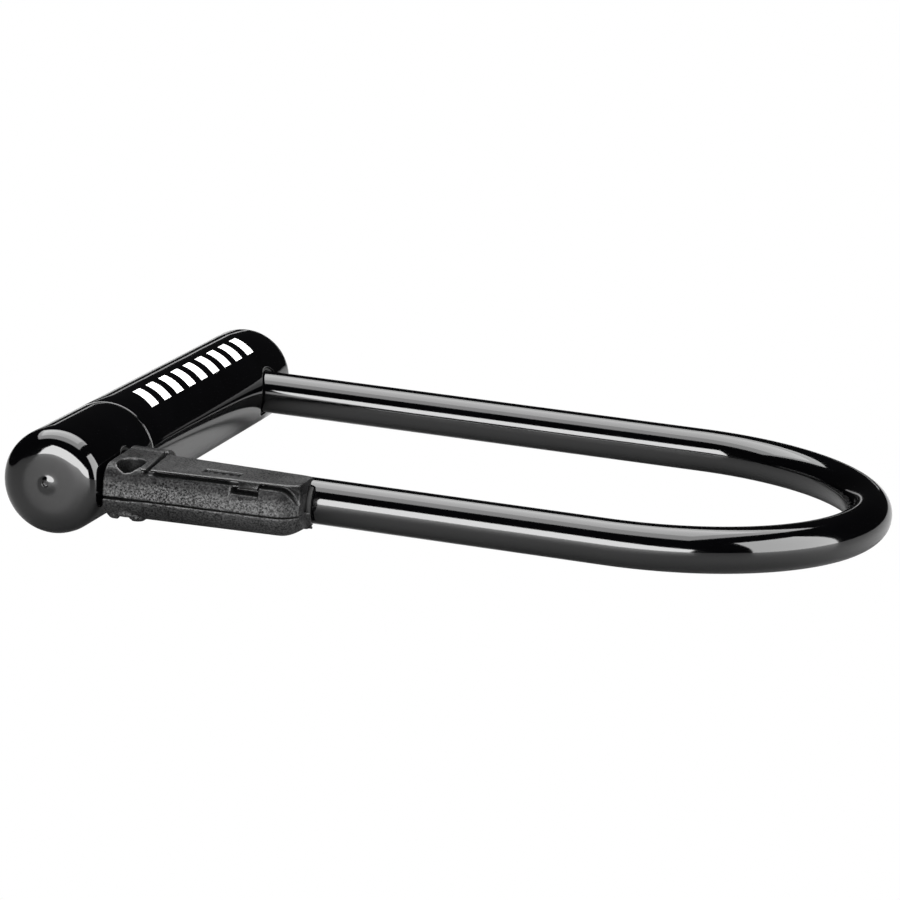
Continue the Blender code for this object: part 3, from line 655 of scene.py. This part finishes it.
def running_groove():
    """Groove between the lip and the rail plate, dropping around the rounded end of the lip."""
    lower = [(60.5, 4.3), (LIP_END_X, 4.3), (LIP_END_X, LIP_TOP), (75.0, LIP_TOP),
             (76.6, 6.9), (77.9, 6.4), (79.0, 5.5), (79.9, 4.6), (80.7, 3.5), (81.4, 2.2),
             (84.0, 1.6)]
    upper = [(84.0, 5.2), (82.2, 5.7), (81.2, 6.8), (80.4, 7.4), (79.4, 7.9), (78.0, 8.2),
             (76.4, 8.35), (LIP_END_X, 8.35), (68.8, 6.3), (60.5, 6.3)]
    return prism([(z, CROSS_X + x) for x, z in lower + upper], "Y", -99.0, -87.6)


def sector(x0, x1, r, a0, a1):
    outline = [(-LEG_Y, 0.0)] + arc(-LEG_Y, 0.0, r, a0, a1, 24)
    return prism(outline, "X", x0, x1, (CROSS_X, 0.0, 0.0))


def hexagon(r, turn=0.0):
    return [(r * math.cos(turn + math.pi * i / 3.0), r * math.sin(turn + math.pi * i / 3.0))
            for i in range(6)]


def build_upper_shell():
    leg = (CROSS_X, -LEG_Y, 0.0)
    shell = loft([collar_section(x) for x in (SHELL_X0, 22.0, 26.0, 31.0)])
    block_x = [30.5, 40.0, 50.0, 60.0, 70.0, 74.4] + [74.4 + 0.55 * i for i in range(1, 15)]
    carve(shell, [loft([upper_block(min(x, 82.1)) for x in block_x])], "UNION")
    carve(shell, [rail_plate(), end_wall()], "UNION")
    gap = [(CROSS_X + 29.9, -71.6), (CROSS_X + 31.1, -71.6), (CROSS_X + 33.9, -99.0),
           (CROSS_X + 32.7, -99.0)]
    carve(shell, [box((CROSS_X, -120.0, -20.0), (CROSS_X + 95.0, -50.0, PART_Z)),
                  rod("X", leg, 10.0, 90.0, SHELL_BORE, 96),
                  sector(65.7, 95.0, 9.0, 134.0, 200.0),
                  sector(79.2, 95.0, 12.0, 141.0, 200.0),
                  prism(gap, "Z", LIP_TOP, 14.0),
                  prism([(-99.0, NOTCH_FLOOR), (-93.9, NOTCH_FLOOR), (-92.9, 4.3), (-92.3, 4.3),
                         (-92.3, 7.8), (-99.0, 7.8)], "X", 60.5, LIP_END_X, (CROSS_X, 0.0, 0.0)),
                  running_groove()])
    holes = []
    for x, y, side in SCREWS:
        spot = (CROSS_X + x, y, 0.0)
        if side > 0:
            holes.append(rod("Z", spot, -12.0, 14.0, 2.3, 48))
            for shift in (-1.2, 1.2):
                holes.append(rod("Z", (spot[0], y + shift, 0.0), 2.2, 14.0, 4.3, 72))
        else:
            holes.append(rod("Z", spot, -12.0, 4.0, 1.8, 40))
            holes.append(prism(hexagon(3.4), "Z", -4.0, 2.2, spot))
    carve(shell, [rod("Z", (CROSS_X + 24.9, -88.6, 0.0), 0.0, 8.2, 5.3, 72)], "UNION")
    carve(shell, holes)
    carve(shell, [box((CROSS_X + 49.0, -88.6, SHELL_TOP - 1.5), (CROSS_X + 61.5, -84.2, 12.0))])
    bars = [box((CROSS_X + 50.6 + 2.7 * k, -87.6, SHELL_TOP - 1.8),
                (CROSS_X + 51.9 + 2.7 * k, -85.2, SHELL_TOP - 0.5)) for k in range(4)]
    carve(shell, bars, "UNION")
    mould(shell, 0.28, 3, 0.4)
    dress(shell, "carrier_upper_moulding", SATIN, "shackle", ["carrier_upper_shell"])


def lower_section(x):
    near = near_face(x)
    t = (x - SHELL_X0) / (SHELL_X1 - SHELL_X0)
    drop = max(0.0, x - 76.0)
    bottom = -9.9 + 0.7 * t + 0.06 * drop * drop
    split = PART_Z - 0.3
    wide = 11.0 - 2.2 * t
    tall = split - bottom
    pts = [(near, split + 2.0)]
    for a in range(0, 91, 6):
        s = math.radians(a)
        pts.append((near + wide * (1.0 - math.cos(s)), split - tall * math.sin(s)))
    pts.append((-LEG_Y - 1.0, bottom))
    for a in (-75.0, -65.0, -55.0, -45.0, -35.0, -26.0, -18.0):
        s = math.radians(a)
        r = -bottom
        pts.append((-LEG_Y + r * math.cos(s), r * math.sin(s)))
    pts.append((-LEG_Y + COLLAR_R, split))
    pts.append((-LEG_Y + COLLAR_R, split + 2.0))
    return [(CROSS_X + x, y, z) for y, z in pts]


def build_lower_shell():
    leg = (CROSS_X, -LEG_Y, 0.0)
    stations = [SHELL_X0, 34.0, 50.0, 62.0, 74.4] + [74.4 + 0.55 * i for i in range(1, 15)]
    shell = loft([lower_section(min(x, 82.1)) for x in stations])
    spot = (CROSS_X + SCREWS[0][0], SCREWS[0][1], 0.0)
    lobes = [rod("Z", (spot[0] + d, spot[1] - 1.0, 0.0), -9.6, -3.2, 3.25, 48, 0.9)
             for d in (-3.55, 3.25)]
    carve(shell, [rod("X", leg, 62.0, 80.8, 9.6, 96, 0.5),
                  sector(75.3, 83.2, 9.72, 184.0, 238.0),
                  rod("Z", spot, -8.2, -3.0, 5.4, 72, 0.3)] + lobes, "UNION")
    cutters = [box((CROSS_X, -120.0, PART_Z - 0.42), (CROSS_X + 95.0, -50.0, 20.0)),
               prism([(-2.5, CROSS_X + 10.0), (-2.3, CROSS_X + 26.0), (-1.7, CROSS_X + 36.0),
                      (3.0, CROSS_X + 36.0), (3.0, CROSS_X + 10.0)], "Y", -120.0, -50.0),
               rod("X", leg, 10.0, 90.0, SHELL_BORE, 96),
               rod("X", leg, 65.7, 91.0, 9.0, 96)]
    for x, y, side in SCREWS:
        spot = (CROSS_X + x, y, 0.0)
        if side > 0:
            cutters.append(rod("Z", spot, -14.0, 4.0, 2.3, 48))
            cutters.append(prism(hexagon(4.5, 0.5), "Z", -14.0, -4.9, spot))
        else:
            cutters.append(rod("Z", spot, -14.0, 4.0, 1.8, 40))
            cutters.append(rod("Z", spot, -14.0, -6.2, 3.2, 56))
    carve(shell, cutters)
    mould(shell, 0.28, 3, 0.4)
    dress(shell, "carrier_lower_moulding", SATIN, "shackle", ["carrier_lower_shell"])


def build_liner():
    """Ribbed rubber strip, finer than its CAD solid."""
    bm = bmesh.new()
    count = 64
    start = math.radians(136.0)
    end = math.radians(346.0)
    stations = [(66.0, 8.5), (66.1, 8.65), (66.3, 8.7)]
    x = 78.2
    while x < 81.9:
        stations.append((x, 8.7))
        for i in range(1, 6):
            t = math.pi * i / 6
            stations.append((x + 0.9 * i / 6, 8.7 - 0.5 * math.sin(t)))
        stations.append((x + 0.9, 8.7))
        x += 1.3
    stations.append((82.75, 8.7))
    stations.append((82.9, 8.6))
    grids = []
    for r0 in (None, 7.8):
        grid = []
        for i in range(count + 1):
            t = start + (end - start) * i / count
            shrink = 1.0 - 0.48 * min(1.0, max(0.0, (math.degrees(t) - 218.0) / 24.0))
            grid.append([bm.verts.new((CROSS_X + 78.0 + (x - 78.0) * (shrink if x > 78.0 else 1.0),
                                       -LEG_Y + (r0 or r) * math.cos(t),
                                       (r0 or r) * math.sin(t))) for x, r in stations])
        grids.append(grid)
    out, inn = grids
    n = len(stations)
    for i in range(count):
        for k in range(n - 1):
            bm.faces.new((out[i][k], out[i + 1][k], out[i + 1][k + 1], out[i][k + 1]))
            bm.faces.new((inn[i][k], inn[i][k + 1], inn[i + 1][k + 1], inn[i + 1][k]))
        for k in (0, n - 1):
            bm.faces.new((out[i][k], inn[i][k], inn[i + 1][k], out[i + 1][k]))
    for i in (0, count):
        for k in range(n - 1):
            bm.faces.new((out[i][k], out[i][k + 1], inn[i][k + 1], inn[i][k]))
    dress(to_object("liner", bm), "carrier_liner_strip", RUBBER, "shackle", ["carrier_liner"])


# ---------------------------------------------------------------- carried-over CAD nodes

LOOKS = {
    "crossbar_tube": STEEL, "near_end_plug": STEEL, "far_end_plug": STEEL,
    "bolt_housing": ZINC, "cylinder_housing": BRASS, "housing_pin_lower": DARK_STEEL,
    "housing_pin_upper": DARK_STEEL, "shackle_bar": STEEL, "lock_core": BRASS,
    "core_cam": STEEL, "sidebar": STEEL, "near_deadbolt": STEEL, "far_deadbolt": STEEL,
}


def paint_nodes():
    for name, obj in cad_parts.items():
        look = LOOKS.get(name)
        if name.startswith("locking_disc"):
            look = BRASS
        if name.startswith("carrier_screw") or name.startswith("carrier_nut"):
            look = DARK_STEEL
        if look is not None:
            obj.material_slots[0].material = look


# ---------------------------------------------------------------- stage, lights and camera

def build_stage():
    """Pale floor touching the crossbar and the bend; the lock rests on both."""
    tilt = math.asin((COVER_R - COAT_R) / (BEND_X + LEG_Y - CROSS_X))
    normal = Vector((-math.sin(tilt), 0.0, math.cos(tilt)))
    foot = Vector((CROSS_X, 0.0, 0.0)) * MM - normal * (COVER_R + 0.02) * MM
    bm = bmesh.new()
    bmesh.ops.create_circle(bm, cap_ends=True, segments=96, radius=7.0)
    mesh = bpy.data.meshes.new("floor")
    bm.to_mesh(mesh)
    bm.free()
    floor = bpy.data.objects.new("floor", mesh)
    bpy.context.scene.collection.objects.link(floor)
    floor.matrix_world = Matrix.Translation(foot) @ normal.to_track_quat("Z", "Y").to_matrix().to_4x4()
    n = Nodes("floor_paint")
    n.set("Base Color", (0.3, 0.3, 0.3, 1.0))
    n.set("Roughness", 0.3)
    n.set("Specular IOR Level", 0.03)
    white = n.tree.nodes.new("ShaderNodeEmission")
    split_rays(n.tree, n.bsdf.outputs[0], white.outputs[0], "Material Output")
    floor.data.materials.append(n.mat)


def softbox(name, place, facing, width, height, radiance, roll=0.0):
    """Area light of the given radiance at place (metres), facing a direction, turned by roll."""
    light = bpy.data.lights.new(name, "AREA")
    light.shape = "RECTANGLE"
    light.size = width
    light.size_y = height
    light.energy = radiance * math.pi * width * height
    obj = bpy.data.objects.new(name, light)
    bpy.context.scene.collection.objects.link(obj)
    back = -Vector(facing).normalized()
    side = Vector((0.0, 0.0, 1.0)).cross(back)
    if side.length < 0.1:
        side = Vector((1.0, 0.0, 0.0))
    side.normalize()
    up = back.cross(side)
    c, q = math.cos(roll), math.sin(roll)
    side, up = side * c + up * q, up * c - side * q
    obj.matrix_world = Matrix(((side.x, up.x, back.x, place[0]), (side.y, up.y, back.y, place[1]),
                               (side.z, up.z, back.z, place[2]), (0.0, 0.0, 0.0, 1.0)))
    obj.visible_camera = False
    return obj


def build_lights():
    # Large box overhead, seen along the top of the legs.
    softbox("box_over", (-0.39, 0.22, 1.3), (0.0, 0.0, -1.0), 1.95, 1.93, 5.2)
    softbox("box_core", (-0.39, 0.3, 1.28), (0.0, 0.0, -1.0), 1.5, 0.95, 3.0)
    # Low panel on the camera side, seen along the near sides.
    softbox("panel_near", (0.065, -1.32, 0.146), (0.0, 1.0, 0.0), 1.5, 0.72, 17.0, -0.2)
    # Tall panel past the bend.
    softbox("panel_bend", (1.2, -0.16, 0.66), (-1.0, 0.0, 0.0), 1.06, 1.3, 9.0)
    # Dim glow low beyond the far end of the crossbar.
    softbox("glow_far", (-0.45, 1.4, 0.15), (0.3, -1.0, 0.0), 1.15, 0.05, 0.9)
    world = bpy.data.worlds.new("surround")
    bpy.context.scene.world = world
    world.use_nodes = True
    tree = world.node_tree
    pale = tree.nodes["Background"]
    pale.inputs["Color"].default_value = (1.0, 1.0, 1.0, 1.0)
    dim = tree.nodes.new("ShaderNodeBackground")
    dim.inputs["Color"].default_value = (0.01, 0.01, 0.01, 1.0)
    split_rays(tree, dim.outputs[0], pale.outputs[0], "World Output")


def split_rays(tree, others, seen, output):
    """The camera sees one shader; reflections and bounced light see the other."""
    path = tree.nodes.new("ShaderNodeLightPath")
    mix = tree.nodes.new("ShaderNodeMixShader")
    tree.links.new(path.outputs["Is Camera Ray"], mix.inputs[0])
    tree.links.new(others, mix.inputs[1])
    tree.links.new(seen, mix.inputs[2])
    tree.links.new(mix.outputs[0], tree.nodes[output].inputs["Surface"])


def build_camera():
    yaw, pitch, roll = CAMERA_YAW, CAMERA_PITCH, CAMERA_ROLL
    forward = Vector((math.sin(yaw) * math.cos(pitch), math.cos(yaw) * math.cos(pitch),
                      -math.sin(pitch)))
    flat = Vector((math.cos(yaw), -math.sin(yaw), 0.0))
    rise = flat.cross(forward)
    right = math.cos(roll) * flat + math.sin(roll) * rise
    up = -math.sin(roll) * flat + math.cos(roll) * rise
    data = bpy.data.cameras.new("camera")
    data.sensor_width = 36.0
    data.lens = CAMERA_LENS
    data.clip_start = 0.01
    data.clip_end = 20.0
    obj = bpy.data.objects.new("camera", data)
    bpy.context.scene.collection.objects.link(obj)
    obj.matrix_world = Matrix(((right.x, up.x, -forward.x, CAMERA_PLACE[0]),
                               (right.y, up.y, -forward.y, CAMERA_PLACE[1]),
                               (right.z, up.z, -forward.z, CAMERA_PLACE[2]), (0.0, 0.0, 0.0, 1.0)))
    bpy.context.scene.camera = obj


build_covers()
build_graphic()
build_small_trim()
build_coating()
build_upper_shell()
build_lower_shell()
build_liner()
paint_nodes()
build_stage()
build_lights()
build_camera()
bpy.context.scene.view_settings.view_transform = "Standard"
bpy.context.scene.view_settings.look = "None"
